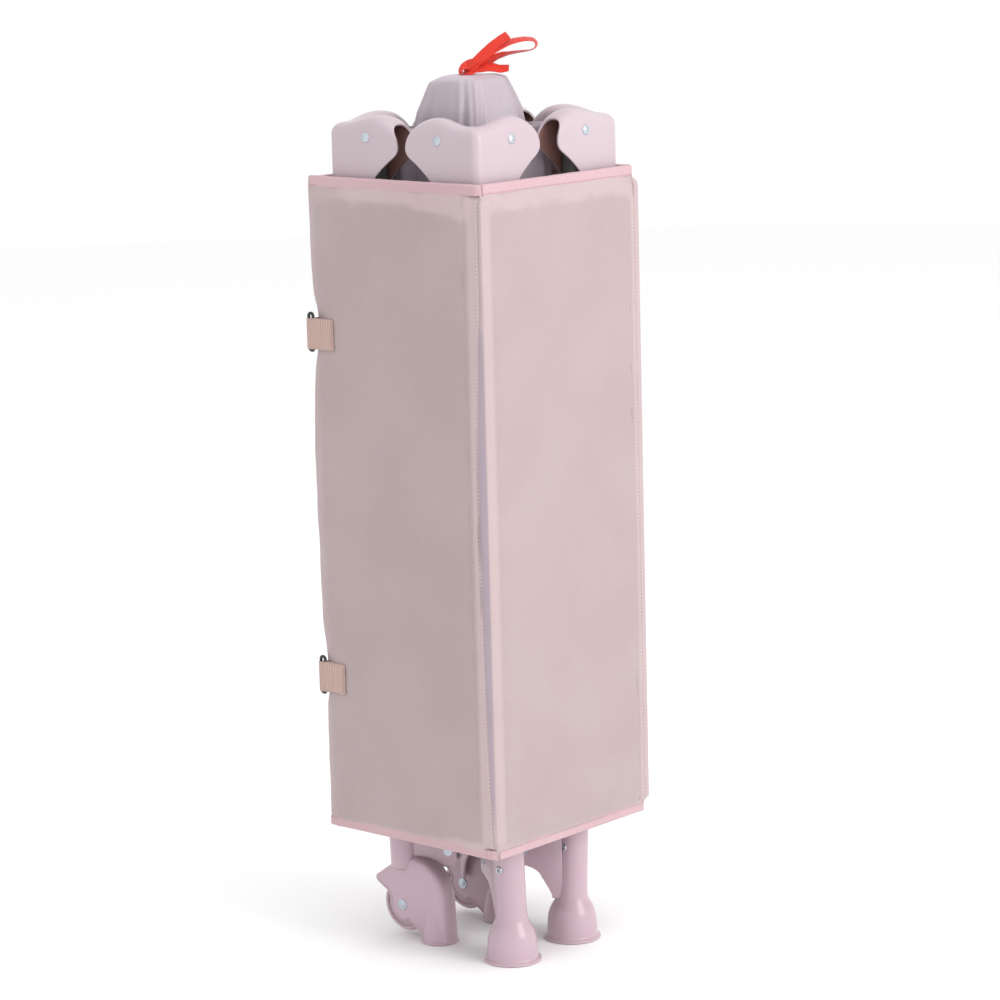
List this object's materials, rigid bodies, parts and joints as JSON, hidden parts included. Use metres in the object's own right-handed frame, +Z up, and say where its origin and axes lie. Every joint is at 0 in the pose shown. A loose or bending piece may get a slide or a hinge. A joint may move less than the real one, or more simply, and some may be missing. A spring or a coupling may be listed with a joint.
{
  "type": "folded travel cot",
  "caption": "Folding travel cot, folded upright on its feet and wheels and wrapped in its own padded folding mattress.",
  "frame": {"origin": "on the floor, under the middle of the wrapped mattress", "axes": "+Z up; +Y towards the wheels' end; -Y is the mattress's front panel"},
  "size_m": [0.2206, 0.212, 0.8292],
  "materials": {
    "cap_plastic": "satin moulded",
    "foot_plastic": "satin moulded",
    "wheel_plastic": "moulded, grooved",
    "latch_plastic": "fine moulded grain",
    "tube_steel": "powder coated",
    "rivet_zinc": "zinc plated",
    "satin_fabric": "satin polyester",
    "mesh_fabric": "fine mesh",
    "cover_fabric": "fine plain weave",
    "binding_tape": "folded tape",
    "webbing": "ribbed webbing",
    "ring_plastic": "glossy moulded",
    "ribbon_satin": "satin ribbon",
    "hardboard": "hardboard"
  },
  "bodies": {
    "frame": {"cap_front_left": "cap_plastic", "cap_front_right": "cap_plastic", "cap_rear_left": "cap_plastic", "cap_rear_right": "cap_plastic", "leg_front_left": "tube_steel", "leg_front_right": "tube_steel", "leg_rear_left": "tube_steel", "leg_rear_right": "tube_steel", "foot_left": "foot_plastic", "foot_right": "foot_plastic", "wheel_foot_left": "foot_plastic", "wheel_foot_right": "foot_plastic", "wheel_axles": "rivet_zinc", "long_rail_front_left": "tube_steel", "long_rail_front_right": "tube_steel", "long_rail_rear_left": "tube_steel", "long_rail_rear_right": "tube_steel", "short_rail_front_left": "tube_steel", "short_rail_front_right": "tube_steel", "short_rail_rear_left": "tube_steel", "short_rail_rear_right": "tube_steel", "latch_left": "latch_plastic", "latch_right": "latch_plastic", "latch_front": "latch_plastic", "latch_rear": "latch_plastic", "floor_rail_front_left": "tube_steel", "floor_rail_front_right": "tube_steel", "floor_rail_rear_left": "tube_steel", "floor_rail_rear_right": "tube_steel", "hub": "latch_plastic", "rail_rivets": "rivet_zinc", "latch_rivets": "rivet_zinc", "floor_rivets": "rivet_zinc", "foot_eyelets": "rivet_zinc", "floor_fabric": "satin_fabric", "side_mesh": "mesh_fabric", "pull_ribbon": "ribbon_satin"},
    "panel_front": {"cover_front": "cover_fabric", "board_front": "hardboard", "binding_front": "binding_tape"},
    "panel_left": {"cover_left": "cover_fabric", "board_left": "hardboard", "binding_left": "binding_tape", "strap_tabs": "webbing", "strap_rings": "ring_plastic"},
    "panel_right": {"cover_right": "cover_fabric", "board_right": "hardboard", "binding_right": "binding_tape"},
    "panel_rear": {"cover_rear": "cover_fabric", "board_rear": "hardboard", "binding_rear": "binding_tape", "strap_ends": "webbing"},
    "wheel_left": {"wheel_left": "wheel_plastic"},
    "wheel_right": {"wheel_right": "wheel_plastic"},
    "button_left": {"button_left": "cap_plastic"},
    "button_right": {"button_right": "cap_plastic"},
    "button_front": {"button_front": "cap_plastic"},
    "button_rear": {"button_rear": "cap_plastic"}
  },
  "joints": [
    {"name": "wrap_lift", "type": "slide", "parent": "frame", "child": "panel_front", "axis": [0, 0, 1], "range_m": [0, 0.72]},
    {"name": "left_fold", "type": "hinge", "parent": "panel_front", "child": "panel_left", "pos_m": [-0.109, -0.102, 0.412], "axis": [0, 0, 1], "range_deg": [0, 90]},
    {"name": "right_fold", "type": "hinge", "parent": "panel_front", "child": "panel_right", "pos_m": [0.109, -0.102, 0.412], "axis": [0, 0, -1], "range_deg": [0, 90]},
    {"name": "rear_fold", "type": "hinge", "parent": "panel_right", "child": "panel_rear", "pos_m": [0.109, 0.102, 0.412], "axis": [0, 0, -1], "range_deg": [0, 90]},
    {"name": "wheel_left_spin", "type": "hinge", "parent": "frame", "child": "wheel_left", "pos_m": [-0.046, 0.064, 0.031], "axis": [1, 0, 0], "continuous": true},
    {"name": "wheel_right_spin", "type": "hinge", "parent": "frame", "child": "wheel_right", "pos_m": [0.038, 0.064, 0.031], "axis": [1, 0, 0], "continuous": true},
    {"name": "button_left_press", "type": "slide", "parent": "frame", "child": "button_left", "axis": [0, 0, 1], "range_m": [0, 0.0045], "stiffness_N_per_m": 600},
    {"name": "button_right_press", "type": "slide", "parent": "frame", "child": "button_right", "axis": [0, 0, 1], "range_m": [0, 0.0045], "stiffness_N_per_m": 600},
    {"name": "button_front_press", "type": "slide", "parent": "frame", "child": "button_front", "axis": [0, 0, 1], "range_m": [0, 0.0045], "stiffness_N_per_m": 600},
    {"name": "button_rear_press", "type": "slide", "parent": "frame", "child": "button_rear", "axis": [0, 0, 1], "range_m": [0, 0.0045], "stiffness_N_per_m": 600}
  ]
}
